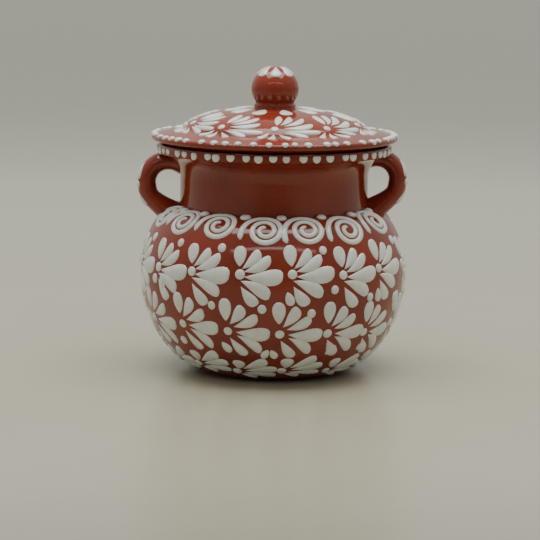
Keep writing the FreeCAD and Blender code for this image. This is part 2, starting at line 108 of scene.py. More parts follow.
def shader_nodes(tree):
    """Empties a shader tree and gives the function that adds nodes to it."""
    tree.nodes.clear()

    def add(kind, inputs=None, **settings):
        node = tree.nodes.new("ShaderNode" + kind)
        for key, value in settings.items():
            setattr(node, key, value)
        return connect(node, inputs or {})

    return add


def new_material(name):
    """A material, its Principled shader and the function that adds its other nodes."""
    material = bpy.data.materials.new(name)
    material.use_nodes = True
    add = shader_nodes(material.node_tree)
    shader = add("BsdfPrincipled")
    add("OutputMaterial", {0: shader.outputs[0]})
    return material, shader, add


def colour(red, green, blue):
    """A colour written as it looks on a screen, 0 to 255, as the shader's linear values."""
    def linear(value):
        share = value / 255
        return share / 12.92 if share <= 0.04045 else ((share + 0.055) / 1.055) ** 2.4
    return (linear(red), linear(green), linear(blue), 1.0)


def ramp(add, factor, *stops):
    """The colour that a factor picks from a ramp with (position, colour) stops."""
    node = add("ValToRGB", {0: factor})
    points = node.color_ramp.elements
    points[0].position, points[0].color = stops[0]
    points[1].position, points[1].color = stops[-1]
    for position, tone in stops[1:-1]:
        points.new(position).color = tone
    return node.outputs[0]


def shaded(add, share, tone, shade):
    """A colour that is multiplied by another one, by a share of 0 to 1."""
    return add("Mix", {0: share, 6: tone, 7: shade}, data_type="RGBA", blend_type="MULTIPLY").outputs[2]


table_reach = 14.0
table_gap = 0.2 * MM
table_painted_shade_centre = (0.0, -1.05, 0.0)

table_material, table_shader, add = new_material("table_paint")
table_place = add("TexCoord").outputs["Object"]
table_distance = add("VectorMath", {0: table_place}, operation="LENGTH").outputs["Value"]
table_far = add("MapRange", {0: table_distance, 1: 0.2, 2: 9.0}).outputs[0]
# The table's pale colour carries painted light: a little darker within half a metre of the pot,
# brightest about 1.3 m out and a little darker again from 2.4 m on.
table_tone_and_painted_light = ramp(add, table_far,
                  (0.0, colour(176, 172, 151)), (0.035, colour(180, 178, 158)),
                  (0.12, colour(210, 209, 190)), (0.25, colour(196, 196, 178)),
                  (1.0, colour(196, 196, 177)))
# A round patch of painted shade in front of the pot, down to 0.3 of the table's colour at its middle,
# for the neck's glaze to mirror; the fine mottle is multiplied in with it.
table_away = add("VectorMath", {0: table_place, 1: table_painted_shade_centre},
                 operation="DISTANCE").outputs["Value"]
table_painted_shade = add("MapRange", {0: table_away, 1: 0.1, 2: 0.8, 3: 0.3, 4: 1.0},
                  interpolation_type="SMOOTHSTEP").outputs[0]
table_grain = add("TexNoise", {"Vector": table_place, "Scale": 18.0, "Detail": 5.0}).outputs["Fac"]
table_mottle = add("MapRange", {0: table_grain, 1: 0.3, 2: 0.7, 3: 0.985, 4: 1.015}).outputs[0]
table_painted_shade_and_mottle = add("Math", {0: table_painted_shade, 1: table_mottle}, operation="MULTIPLY").outputs[0]
connect(table_shader, {"Base Color": shaded(add, 1.0, table_tone_and_painted_light, table_painted_shade_and_mottle),
                       "Roughness": 0.26, "Specular IOR Level": 0.5})

table_mesh = bpy.data.meshes.new("table_top")
table_mesh.from_pydata([(x * table_reach, y * table_reach, 0.0)
                        for x, y in ((-1, -1), (1, -1), (1, 1), (-1, 1))], [], [(0, 1, 2, 3)])
table_mesh.materials.append(table_material)
table_top = put_in_scene("table_top", table_mesh)
table_top.location.z = cad_box[0][2] - table_gap


def soft_box(name, place, width, height, power):
    """A rectangular lamp that looks at the middle of the pot."""
    lamp = bpy.data.lights.new(name, "AREA")
    lamp.shape = "RECTANGLE"
    lamp.size = width
    lamp.size_y = height
    lamp.energy = power
    holder = put_in_scene(name, lamp)
    holder.location = place
    holder.rotation_euler = (Vector((0, 0, 0.1)) - Vector(place)).to_track_quat("-Z", "Y").to_euler()


soft_box("ceiling_box", (0.0, 0.0, 1.5), 1.5, 1.0, 26.0)
soft_box("front_strip", (0.0, -1.5, 1.35), 2.6, 0.08, 3.4)

# The room: dim behind the camera, paler at both sides, bright overhead and on the back wall.
# Each line adds its brightness as the direction's axis goes from one value to the other.
world_tint = (1.0, 0.985, 0.91, 1.0)
world = bpy.data.worlds.new("studio")
bpy.context.scene.world = world
world.use_nodes = True
add = shader_nodes(world.node_tree)
world_way = add("SeparateXYZ", {0: add("TexCoord").outputs["Generated"]}).outputs
world_level = 0.03
for axis, start, end, brightness in (("X", 0.2, 1.0, 0.22), ("X", -0.2, -1.0, 0.25),
                                     ("Y", -0.2, 0.9, 0.38),
                                     ("Z", -0.05, 0.1, 0.12), ("Z", 0.1, 0.9, 0.25)):
    world_part = add("MapRange", {0: world_way[axis], 1: start, 2: end, 4: brightness},
                     interpolation_type="SMOOTHSTEP").outputs[0]
    world_level = add("Math", {0: world_level, 1: world_part}).outputs[0]
world_light = add("Background", {"Color": shaded(add, 1.0, world_level, world_tint)})
add("OutputWorld", {0: world_light.outputs[0]})


# ---- Pot body ---------------------------------------------------------------------------
# One piece of red clay thrown on the wheel: a round belly, a straight neck and a flared rim
# with an upright band. It is glazed all over with a clear gloss glaze that darkens the clay.

base_radius = 54.0
base_rounding = 3.0
belly_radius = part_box("pot_body")[1].x / MM
belly_height = 77.0          # level of the widest ring
belly_side = 62.3            # radial reach of the rounded side
shoulder_inset = 8.9         # from the widest ring in to where the shoulder starts
shoulder_rise = 33.0         # and from that ring up to there
shoulder_pull = 9.0          # of its curve at both ends, falling a little beside the neck
shoulder_drop = 1.1
neck_radius = 71.0
neck_foot = 124.0
neck_top = 147.5
flare_pull = 9.0             # of its curve, leaning out at the neck, falling at the rim
flare_lean = 0.6
flare_drop = 1.3
rim_radius = 87.6
rim_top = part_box("pot_body")[1].z / MM
rim_band = 6.7
rim_rounding = 1.4
lip_width = 8.6
mouth_depth = 6.0            # of the upright wall inside the lip
mouth_pull = 7.0             # of the curve that comes up the neck to its foot
mouth_drop = 0.7
mouth_rounding = 1.2
wall = 6.0
floor_thickness = 7.0


def bezier(start, pull_start, pull_end, end, steps=16):
    """Points along a curve from start to end, without the first."""
    points = []
    for i in range(1, steps + 1):
        t = i / steps
        points.append(tuple((1 - t) ** 3 * a + 3 * t * (1 - t) ** 2 * b + 3 * t * t * (1 - t) * c
                            + t ** 3 * d
                            for a, b, c, d in zip(start, pull_start, pull_end, end)))
    return points


def pot_side(offset, bottom):
    """(radius, height) points in mm from a level up the belly, shoulder and neck."""
    core = belly_radius - belly_side
    side = belly_side + offset
    depth = belly_height / math.sqrt(1 - ((base_radius - core) / belly_side) ** 2) + offset
    turn = math.acos((belly_radius - shoulder_inset - core) / belly_side)
    rise = shoulder_rise / math.sin(turn) + offset
    first = -math.asin((belly_height - bottom) / depth)
    points = [(core + side * math.cos(first * (1 - i / 60)),
               belly_height + depth * math.sin(first * (1 - i / 60))) for i in range(60)]
    points += [(core + side * math.cos(turn * i / 24), belly_height + rise * math.sin(turn * i / 24))
               for i in range(25)]
    shoulder = Vector(points[-1])
    along = Vector((-side * math.sin(turn), rise * math.cos(turn))).normalized() * shoulder_pull
    foot = Vector((neck_radius + offset, neck_foot + offset))
    return points + bezier(shoulder, shoulder + along,
                           foot + Vector((shoulder_pull, -shoulder_drop)), foot, 24)


def pot_neck(radius, pull, end):
    """Points up the straight neck and out along the flare, which arrives at its end from pull."""
    straight = [(radius, neck_foot + (neck_top - neck_foot) * i / 8) for i in range(1, 9)]
    return straight + bezier((radius, neck_top), (radius + flare_lean, neck_top + flare_pull),
                             pull, end, 20)


band_foot = rim_top - rim_band
pot_outside = pot_side(0.0, 0.0)
pot_outside += pot_neck(neck_radius, (rim_radius - flare_pull, band_foot - flare_drop),
                        (rim_radius, band_foot))
pot_outside += [(rim_radius, band_foot + rim_band / 3), (rim_radius, rim_top - rim_rounding)]

mouth_radius = rim_radius - lip_width
mouth_foot = rim_top - mouth_depth
pot_lip = [(rim_radius - 0.29 * rim_rounding, rim_top - 0.29 * rim_rounding),
           (rim_radius - rim_rounding, rim_top), (mouth_radius + mouth_rounding, rim_top),
           (mouth_radius + 0.25 * mouth_rounding, rim_top - 0.25 * mouth_rounding),
           (mouth_radius, rim_top - mouth_rounding)]
pot_inside = pot_side(-wall, floor_thickness)
pot_inside += pot_neck(neck_radius - wall, (mouth_radius - mouth_pull, mouth_foot - mouth_drop),
                       (mouth_radius, mouth_foot))
pot_base = [(0.0, 0.0), (base_radius - base_rounding, 0.0),
            (base_radius - 0.27 * base_rounding, 0.23 * base_rounding)]
pot_outline = (pot_base + [p for p in pot_outside if p[1] > 0.53 * base_rounding] + pot_lip
               + pot_inside[::-1] + [(0.0, floor_thickness)])


def outline_object(name, points):
    """A chain of edges in the XZ plane, from (radius, height) points in mm."""
    mesh = bpy.data.meshes.new(name)
    mesh.from_pydata([(r * MM, 0.0, z * MM) for r, z in points],
                     [(i, i + 1) for i in range(len(points) - 1)], [])
    return put_in_scene(name, mesh)


class NodeTree:
    """A Geometry Nodes tree that is written down as calls."""

    def __init__(self, name, **inputs):
        self.tree = bpy.data.node_groups.new(name, "GeometryNodeTree")
        face = self.tree.interface
        face.new_socket("Geometry", in_out="OUTPUT", socket_type="NodeSocketGeometry")
        face.new_socket("Geometry", in_out="INPUT", socket_type="NodeSocketGeometry")
        for label, kind in inputs.items():
            face.new_socket(label, in_out="INPUT", socket_type="NodeSocket" + kind)
        self.inputs = self.tree.nodes.new("NodeGroupInput").outputs
        self.result = self.tree.nodes.new("NodeGroupOutput").inputs

    def add(self, kind, inputs=None, **settings):
        node = self.tree.nodes.new(kind)
        for key, value in settings.items():
            setattr(node, key, value)
        return connect(node, inputs or {})

    def math(self, operation, *values):
        return self.add("ShaderNodeMath", dict(enumerate(values)), operation=operation).outputs[0]

    def plus(self, first, second):
        return self.math("ADD", first, second)

    def times(self, first, second):
        return self.math("MULTIPLY", first, second)

    def split(self, vector):
        return self.add("ShaderNodeSeparateXYZ", {0: vector}).outputs

    def vector(self, x, y, z):
        return self.add("ShaderNodeCombineXYZ", {0: x, 1: y, 2: z}).outputs[0]

    def position(self):
        return self.add("GeometryNodeInputPosition").outputs[0]

    def named(self, name, kind="FLOAT"):
        return self.add("GeometryNodeInputNamedAttribute", {"Name": name}, data_type=kind).outputs[0]

    def shape_of(self, name):
        """The geometry of the object that one of the tree's inputs names."""
        return self.add("GeometryNodeObjectInfo", {"Object": self.inputs[name]}).outputs["Geometry"]

    def finish(self, shape, place, material):
        """Ends the tree: each point of the shape goes to its place, smooth and in its material."""
        moved = self.add("GeometryNodeSetPosition", {"Geometry": shape, "Position": place})
        real = self.add("GeometryNodeRealizeInstances", {0: moved.outputs[0]})
        smooth = self.add("GeometryNodeSetShadeSmooth", {"Geometry": real.outputs[0]})
        painted = self.add("GeometryNodeSetMaterial", {"Geometry": smooth.outputs[0],
                                                       "Material": material})
        self.tree.links.new(painted.outputs[0], self.result[0])
        return self.tree


def run_tree(tree, holder, name, **values):
    """The mesh that the tree makes on the holder, as a plain object; the holder goes."""
    modifier = holder.modifiers.new("shape", "NODES")
    modifier.node_group = tree
    for item in tree.interface.items_tree:
        if item.in_out == "INPUT" and item.name in values:
            modifier[item.identifier] = values[item.name]
    evaluated = holder.evaluated_get(bpy.context.evaluated_depsgraph_get())
    mesh = bpy.data.meshes.new_from_object(evaluated)
    mesh.name = name
    holder.modifiers.clear()
    bpy.data.objects.remove(holder)
    return put_in_scene(name, mesh)


def tidy_mesh(piece, seam=0.00002, corner=32.0):
    """Closes seams and poles, points faces outwards and keeps sharp corners sharp."""
    work = bmesh.new()
    work.from_mesh(piece.data)
    bmesh.ops.remove_doubles(work, verts=work.verts, dist=seam)
    bmesh.ops.dissolve_degenerate(work, edges=work.edges, dist=seam / 4)
    bmesh.ops.recalc_face_normals(work, faces=work.faces)
    for edge in work.edges:
        edge.smooth = len(edge.link_faces) != 2 or edge.calc_face_angle(0.0) < math.radians(corner)
    for face in work.faces:
        face.smooth = True
    work.to_mesh(piece.data)
    work.free()
    return piece


# The potter's wheel: a flat sheet of faces is rolled up round the axis, each row of it at the
# outline's next point, with the slight waviness that hands leave in the clay.
wheel = NodeTree("potters_wheel", Outline="Object", Rings="Int", Around="Int", Waviness="Float",
                 Clay="Material")
wheel_sheet = wheel.add("GeometryNodeMeshGrid", {
    "Size X": 1.0, "Size Y": 1.0, "Vertices X": wheel.plus(wheel.inputs["Around"], 1.0),
    "Vertices Y": wheel.inputs["Rings"]}).outputs[0]
wheel_here = wheel.split(wheel.position())
wheel_turn = wheel.times(wheel.plus(wheel_here[0], 0.5), 2 * math.pi)
wheel_row = wheel.times(wheel.plus(wheel_here[1], 0.5), wheel.plus(wheel.inputs["Rings"], -1.0))
wheel_pick = wheel.add("GeometryNodeSampleIndex", {
    "Geometry": wheel.shape_of("Outline"), "Value": wheel.position(),
    "Index": wheel.math("ROUND", wheel_row)}, data_type="FLOAT_VECTOR").outputs[0]
wheel_outline_radius, _, wheel_height = wheel.split(wheel_pick)
wheel_cos = wheel.math("COSINE", wheel_turn)
wheel_sin = wheel.math("SINE", wheel_turn)
wheel_wave = wheel.add("ShaderNodeTexNoise", {
    "Vector": wheel.vector(wheel_cos, wheel_sin, wheel.times(wheel_height, 18.0)),
    "Scale": 1.1, "Detail": 1.0}).outputs[0]
wheel_growth = wheel.times(wheel.plus(wheel_wave, -0.5), wheel.inputs["Waviness"])
wheel_radius = wheel.times(wheel_outline_radius, wheel.plus(wheel_growth, 1.0))
wheel_place = wheel.vector(wheel.times(wheel_radius, wheel_cos), wheel.times(wheel_radius, wheel_sin),
                           wheel_height)
potters_wheel = wheel.finish(wheel_sheet, wheel_place, wheel.inputs["Clay"])


def thrown(name, points, around, waviness, material):
    """A closed piece turned on the wheel from an outline that runs from axis to axis."""
    holder = put_in_scene(name + "_holder", bpy.data.meshes.new(name + "_holder"))
    outline = outline_object(name + "_outline", points)
    piece = run_tree(potters_wheel, holder, name, Outline=outline, Rings=len(points),
                     Around=around, Waviness=waviness, Clay=material)
    bpy.data.objects.remove(outline)
    return tidy_mesh(piece)


clay_material, clay_shader, add = new_material("glazed_red_clay")
clay_place = add("TexCoord").outputs["Object"]
clay_cloud = add("TexNoise", {"Vector": clay_place, "Scale": 22.0, "Detail": 4.0,
                              "Roughness": 0.55}).outputs["Fac"]
clay_speck = add("TexNoise", {"Vector": clay_place, "Scale": 700.0, "Detail": 2.0}).outputs["Fac"]
clay_tone = ramp(add, clay_cloud, (0.3, colour(120, 43, 27)), (0.7, colour(144, 57, 37)))
clay_dots = ramp(add, clay_speck, (0.30, colour(190, 170, 160)), (0.42, colour(255, 255, 255)))
clay_shine = add("MapRange", {0: clay_cloud, 1: 0.3, 2: 0.7, 3: 0.08, 4: 0.14}).outputs[0]
clay_wave = add("TexNoise", {"Vector": clay_place, "Scale": 60.0, "Detail": 2.0}).outputs["Fac"]
clay_bump = add("Bump", {"Height": clay_wave, "Strength": 0.10, "Distance": 0.0008}).outputs[0]
connect(clay_shader, {"Base Color": shaded(add, 0.5, clay_tone, clay_dots), "Roughness": clay_shine,
                      "Normal": clay_bump, "Specular IOR Level": 0.45})

pot = thrown("pot_clay", pot_outline, 192, 0.002, clay_material)
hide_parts("pot_body")
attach(pot, "pot")


# ---- Handles ----------------------------------------------------------------------------
# Two straps of the same clay, pulled by hand and bent like an ear, so they differ a little in
# reach, level and thickness. The top end is pressed on under the rim and the lower end is
# smeared out on the shoulder.

strap_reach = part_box("handle_right")[1].x / MM
strap_width = 19.0
strap_upper_bend = 18.6
strap_lower_bend = 14.0
strap_upper_turn = math.radians(99.0)
strap_lower_turn = math.radians(45.0)
strap_upper_limb = 9.0       # straight run beyond the upper bend
strap_lower_limb = 21.0
strap_shoulder = 1.6         # how far the upper bend bulges
strap_top_root = 12.0        # length over which the strap grows towards its top
strap_top_spread = 0.35
strap_top_swell = 0.5
strap_foot_root = 22.0
strap_foot_spread = 0.3
strap_foot_swell = 1.1
strap_back_swell = 0.1
strap_sink = 3.0             # depth of both ends in the pot's wall
strap_level = neck_foot + 16.1
# Of each strap: its side, its reach, the level of its outermost point and its thickness
strap_hands = {"right": (1, strap_reach - 1.8, strap_level + 2.4, 14.0),
               "left": (-1, strap_reach + 1.0, strap_level - 1.6, 14.2)}


def strap_at(run, reach, height, thickness):
    """Middle of a strap and its outward normal, at a length up from the outermost point.

    From there it bends one way up to its top and the other way down to its foot, and beyond
    both bends it runs straight on into the wall.
    """
    middle = reach - thickness / 2
    bend = strap_upper_bend if run > 0 else strap_lower_bend
    angle = min(max(run / bend, -strap_lower_turn), strap_upper_turn)
    shoulder = strap_shoulder * math.sin(min(2 * angle, math.pi)) if run > 0 else 0.0
    normal = Vector((math.cos(angle), 0, math.sin(angle)))
    place = Vector((middle - bend, 0, height)) + normal * (bend + shoulder)
    return place + Vector((-normal.z, 0, normal.x)) * (run - bend * angle), normal


def pot_radius(height):
    """Outer radius of the pot at a height above its widest level."""
    for (r0, z0), (r1, z1) in zip(pot_outside, pot_outside[1:]):
        if max(z0, belly_height) <= height <= z1:
            return r0 + (r1 - r0) * (height - z0) / (z1 - z0)


def skin(work, rings):
    """Faces over rings of points that follow each other, closed at both ends."""
    for lower, upper in zip(rings, rings[1:]):
        for k in range(len(lower)):
            after = (k + 1) % len(lower)
            work.faces.new((lower[k], lower[after], upper[after], upper[k]))
    work.faces.new(rings[0][::-1])
    work.faces.new(rings[-1])


def made_of(work, name, material=None):
    """The mesh that was being worked on, as an object."""
    mesh = bpy.data.meshes.new(name)
    work.to_mesh(mesh)
    work.free()
    if material:
        mesh.materials.append(material)
    return put_in_scene(name, mesh)


def strap(name, side, reach, height, thickness, steps=52, around=36):
    """One handle, with both ends sunk into the pot's wall; side is 1 for +X and -1 for -X.

    Towards its ends it spreads sideways and swells on its inner side, where the clay is smeared
    on to the pot.
    """
    top = strap_upper_bend * strap_upper_turn + strap_upper_limb
    foot = -strap_lower_bend * strap_lower_turn - strap_lower_limb
    work = bmesh.new()
    rings = []
    for i in range(steps + 1):
        run = top + (foot - top) * i / steps
        centre, normal = strap_at(run, reach, height, thickness)
        near_top = max(0.0, 1 - (top - run) / strap_top_root) ** 1.5
        near_foot = max(0.0, 1 - (run - foot) / strap_foot_root) ** 1.5
        half_wide = strap_width / 2 * (1 + strap_top_spread * near_top + strap_foot_spread * near_foot)
        ring = []
        for k in range(around):
            angle = 2 * math.pi * k / around
            inner = max(0.0, -math.cos(angle)) ** 1.5
            grow = (1 + strap_back_swell * near_top
                    + inner * (strap_top_swell * near_top + strap_foot_swell * near_foot))
            spot = (centre + normal * thickness / 2 * grow * math.cos(angle)
                    + Vector((0, half_wide * math.sin(angle), 0)))
            sunk = max(1.0, (pot_radius(spot.z) - strap_sink) / math.hypot(spot.x, spot.y))
            ring.append(work.verts.new((spot.x * sunk * MM * side, spot.y * sunk * MM * side,
                                        spot.z * MM)))
        rings.append(ring)
    skin(work, rings)
    return tidy_mesh(made_of(work, name, clay_material), corner=80.0)


for side_name, hand_made in strap_hands.items():
    handle = strap("handle_clay_" + side_name, *hand_made)
    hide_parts("handle_" + side_name)
    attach(handle, "pot")


# ---- Lid --------------------------------------------------------------------------------
# A thrown lid of the same clay: a low dome, a gently sloping brim with a rounded edge, a flat
# ring underneath that rests on the rim, and a flange that keeps it from sliding off.

lid_radius = rim_radius + 5.2
lid_edge_gap = 2.6
lid_edge_thickness = 4.6
lid_brim = 23.0
lid_brim_rise = 4.1
lid_dome_pull = Vector((5.0, 9.0))
lid_crown_pull = 0.55
lid_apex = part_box("lid_plate")[1].z / MM
lid_wall = 6.0
lid_seat_width = 5.0
flange_radius = mouth_radius - 2.5
flange_wall = 5.0
flange_depth = 5.5
flange_rounding = 0.6

lid_edge_bottom = rim_top + lid_edge_gap
lid_edge_top = lid_edge_bottom + lid_edge_thickness
lid_corner = lid_radius - lid_edge_thickness / 2
lid_break = (lid_radius - lid_brim, lid_edge_top + lid_brim_rise)

lid_nose = 2 / 3 * lid_edge_thickness
lid_top = bezier((lid_corner, lid_edge_bottom), (lid_corner + lid_nose, lid_edge_bottom),
                 (lid_corner + lid_nose, lid_edge_top), (lid_corner, lid_edge_top), 14)
lid_top += [(lid_corner + (lid_break[0] - lid_corner) * i / 12,
             lid_edge_top + lid_brim_rise * i / 12) for i in range(1, 12)]
# The dome stands on the brim with a small crease
lid_top += [(lid_break[0] + 0.8, lid_break[1] - 0.05), (lid_break[0] + 0.1, lid_break[1] + 0.5)]
lid_top += bezier(lid_break, (lid_break[0] - lid_dome_pull.x, lid_break[1] + lid_dome_pull.y),
                  (lid_crown_pull * lid_break[0], lid_apex), (0.0, lid_apex), 40)
lid_bore = flange_radius - flange_wall
flange_foot = rim_top - flange_depth
lid_under = bezier((0.0, lid_apex - lid_wall), (lid_crown_pull * lid_break[0], lid_apex - lid_wall),
                   (lid_bore - lid_wall, rim_top + lid_dome_pull.y), (lid_bore, rim_top), 24)
lid_flange = [(lid_bore, flange_foot + flange_rounding), (lid_bore + flange_rounding, flange_foot),
              (flange_radius - flange_rounding, flange_foot),
              (flange_radius, flange_foot + flange_rounding), (flange_radius, rim_top)]
lid_outline = ([(0.0, lid_apex - lid_wall)] + lid_under + lid_flange
               + [(mouth_radius + lid_seat_width, rim_top), (lid_corner, lid_edge_bottom)] + lid_top)

lid = thrown("lid_clay", lid_outline, 192, 0.001, clay_material)
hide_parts("lid_plate")
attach(lid, "lid")


# ---- Knob -------------------------------------------------------------------------------
# A ball of clay on a short collar with a ring at its foot, turned by itself and stuck on the
# crown of the lid with slip before the firing.

knob_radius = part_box("lid_knob")[1].x / MM
knob_height = lid_apex + 13.9
knob_crown = 17.0
knob_collar = knob_radius - 3.2
knob_ring = knob_collar + 1.1
knob_ring_top = lid_apex + 2.6
knob_ring_rounding = 0.5
knob_sink = 2.0
knob_steps = 40

knob_foot = [(0.0, lid_apex - knob_sink), (knob_ring, lid_apex - knob_sink),
             (knob_ring, knob_ring_top - knob_ring_rounding),
             (knob_ring - knob_ring_rounding, knob_ring_top), (knob_collar + 0.3, knob_ring_top)]
knob_side = [(knob_collar, knob_ring_top + knob_ring_rounding)]
collar_angle = math.acos(knob_collar / knob_radius)
for i in range(knob_steps + 1):
    angle = -collar_angle + (math.pi / 2 + collar_angle) * i / knob_steps
    knob_side.append((knob_radius * math.cos(angle), knob_height + knob_crown * math.sin(angle)))
knob_side[-1] = (0.0, knob_height + knob_crown)

knob = thrown("knob_clay", knob_foot + knob_side, 96, 0.004, clay_material)
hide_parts("lid_knob")
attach(knob, "lid")


# ---- Slip trailer -----------------------------------------------------------------------
# The nozzle that all the marks below come from. It squeezes white slip on the leather-hard
# clay, so every petal, dot and line stands up like a drop, thick in the middle. Its colour fades
# to a dark red round its foot, which is painted shade where the mark meets the clay.

slip_material, slip_shader, add = new_material("glazed_white_slip")
slip_place = add("TexCoord").outputs["Object"]
slip_lift = add("Attribute", attribute_name="lift").outputs["Fac"]
slip_cloud = add("TexNoise", {"Vector": slip_place, "Scale": 160.0, "Detail": 3.0}).outputs["Fac"]
slip_white = ramp(add, slip_cloud, (0.3, colour(216, 219, 211)), (0.7, colour(231, 233, 226)))
# Painted shade: over the lowest 0.22 of each mark's height the white fades to a dark red, where the
# mark meets the clay.
slip_foot_painted_shade = add("MapRange", {0: slip_lift, 1: 0.0, 2: 0.22},
                interpolation_type="SMOOTHSTEP").outputs[0]
slip_white_and_painted_shade = add("Mix", {0: slip_foot_painted_shade, 6: colour(96, 40, 26), 7: slip_white},
                  data_type="RGBA").outputs[2]
slip_grain = add("TexNoise", {"Vector": slip_place, "Scale": 420.0, "Detail": 2.0}).outputs["Fac"]
slip_bump = add("Bump", {"Height": slip_grain, "Strength": 0.25, "Distance": 0.0003}).outputs[0]
connect(slip_shader, {"Base Color": slip_white_and_painted_shade, "Normal": slip_bump, "Roughness": 0.3,
                      "Coat Weight": 0.5, "Coat Roughness": 0.08})

slip_relief = 1.2
foot_depth = 0.5             # of a mark's edge in the clay, as a share of its height


def tube_drawing(name, rings):
    """A flat drawing of one mark, from rings of (x, y, height) points that follow each other.

    Each ring runs over the mark from one edge to the other and is closed underneath. The lift
    attribute is 0 at the clay and 1 at the full height.
    """
    work = bmesh.new()
    lift = work.verts.layers.float.new("lift")
    top = max(z for ring in rings for x, y, z in ring)
    rows = []
    for ring in rings:
        row = []
        for spot in ring:
            vert = work.verts.new(spot)
            vert[lift] = max(0.0, spot[2] / top)
            row.append(vert)
        rows.append(row)
    skin(work, rows)
    bmesh.ops.remove_doubles(work, verts=work.verts, dist=0.001)
    bmesh.ops.recalc_face_normals(work, faces=work.faces)
    return made_of(work, name)


def dot_drawing(around=16):
    """A round drop, 1 wide and 1 high."""
    return tube_drawing("dot_drawing", [
        [(0.5 * share * math.cos(2 * math.pi * k / around),
          0.5 * share * math.sin(2 * math.pi * k / around), height) for k in range(around)]
        for share, height in ((1.0, -foot_depth), (0.97, 0.2), (0.84, 0.58), (0.58, 0.86),
                              (0.25, 0.98))])


def across_at(k, count):
    """Side and height at step k over a line of slip: -1 to 1 across, and up to 1 high."""
    side = -math.cos(math.pi * k / count)
    return side, (1 - abs(side) ** 2.4) ** 0.55 * (1 + foot_depth) - foot_depth


def petal_drawing(name, tip_power, end_power, steps=10, across=6):
    """A petal, 1 long and 1 high, that starts as a thin line and ends as a drop.

    Where it meets the clay it is 1 wide; its sunk edge is a little wider.
    """
    widest = tip_power / (tip_power + end_power)
    full = widest ** tip_power * (1 - widest) ** end_power
    rings = []
    for i in range(steps + 1):
        share = 0.5 - 0.5 * math.cos(math.pi * i / steps)
        half = 0.53 * share ** tip_power * (1 - share) ** end_power / full
        ring = []
        for k in range(across + 1):
            side, height = across_at(k, across)
            rise = height * min(1.0, half / 0.5) ** 0.5 if height > 0 else height
            ring.append((share, half * side, rise if half > 0 else -foot_depth))
        rings.append(ring)
    return tube_drawing(name, rings)


dot_mark = dot_drawing()
petal_mark = petal_drawing("petal_drawing", 1.2, 0.42)
egg_mark = petal_drawing("egg_drawing", 0.8, 0.48)

# Each mark is a point with its place on the unrolled clay, its turn and its size. The tree
# sets the flat drawing there and bends the sheet round the clay's outline.
trail = NodeTree("slip_trailer", Mark="Object", Outline="Object", Slip="Material")
trail_marks = trail.add("GeometryNodeInstanceOnPoints", {
    "Points": trail.inputs["Geometry"], "Instance": trail.shape_of("Mark"),
    "Scale": trail.named("size", "FLOAT_VECTOR")}).outputs[0]
trail_flat = trail.add("GeometryNodeRealizeInstances", {0: trail_marks}).outputs[0]
trail_long, trail_across, trail_height = trail.split(trail.position())
trail_bow = trail.times(trail.times(trail_long, trail_long), trail.named("bow"))
trail_bent = trail.plus(trail_across, trail_bow)
trail_cos = trail.math("COSINE", trail.named("turn"))
trail_sin = trail.math("SINE", trail.named("turn"))
trail_right = trail.math("SUBTRACT", trail.times(trail_long, trail_cos),
                         trail.times(trail_bent, trail_sin))
trail_up = trail.plus(trail.times(trail_long, trail_sin), trail.times(trail_bent, trail_cos))
trail_tip = trail.split(trail.named("tip", "FLOAT_VECTOR"))
trail_level = trail.named("level")
trail_line = trail.add("GeometryNodeMeshToCurve", {0: trail.shape_of("Outline")}).outputs[0]


def on_outline(length):
    """Radius, height and outward normal on the outline at a length from its first point."""
    sample = trail.add("GeometryNodeSampleCurve", {"Curves": trail_line, "Length": length},
                       mode="LENGTH", use_all_curves=True)
    place = trail.split(sample.outputs["Position"])
    along = trail.split(sample.outputs["Tangent"])
    return place[0], place[2], along[2], trail.times(along[0], -1.0)


trail_middle_radius = on_outline(trail_level)[0]
trail_radius, trail_z, trail_out, trail_rise = on_outline(
    trail.plus(trail_level, trail.plus(trail_up, trail_tip[1])))
trail_reach = trail.plus(trail_radius, trail.times(trail_out, trail_height))
trail_azimuth = trail.plus(trail.named("azimuth"), trail.math(
    "DIVIDE", trail.plus(trail_right, trail_tip[0]), trail_middle_radius))
trail_place = trail.vector(trail.times(trail_reach, trail.math("COSINE", trail_azimuth)),
                           trail.times(trail_reach, trail.math("SINE", trail_azimuth)),
                           trail.plus(trail_z, trail.times(trail_rise, trail_height)))
slip_trailer = trail.finish(trail_flat, trail_place, trail.inputs["Slip"])


def trailed(name, outline, drawn, marks):
    """Slip marks on the clay. Each mark is (azimuth, level, tip, turn, bow, size), where size is
    (length, width, height), angles are in degrees and lengths in mm."""
    points = bpy.data.meshes.new(name + "_points")
    points.from_pydata([(0, 0, 0)] * len(marks), [], [])

    def store(label, kind, field, values):
        layer = points.attributes.new(label, kind, "POINT")
        layer.data.foreach_set(field, values)

    store("azimuth", "FLOAT", "value", [math.radians(m[0]) for m in marks])
    store("level", "FLOAT", "value", [m[1] * MM for m in marks])
    store("tip", "FLOAT_VECTOR", "vector", [v for m in marks for v in (m[2][0] * MM, m[2][1] * MM, 0)])
    store("turn", "FLOAT", "value", [math.radians(m[3]) for m in marks])
    store("bow", "FLOAT", "value", [m[4] / MM for m in marks])
    store("size", "FLOAT_VECTOR", "vector", [v * MM for m in marks for v in m[5]])
    return run_tree(slip_trailer, put_in_scene(name + "_points", points), name, Mark=drawn,
                    Outline=outline, Slip=slip_material)


def joined(name, pieces):
    """Several meshes as one piece."""
    work = bmesh.new()
    for piece in pieces:
        work.from_mesh(piece.data)
        bpy.data.objects.remove(piece)
    return made_of(work, name, slip_material)


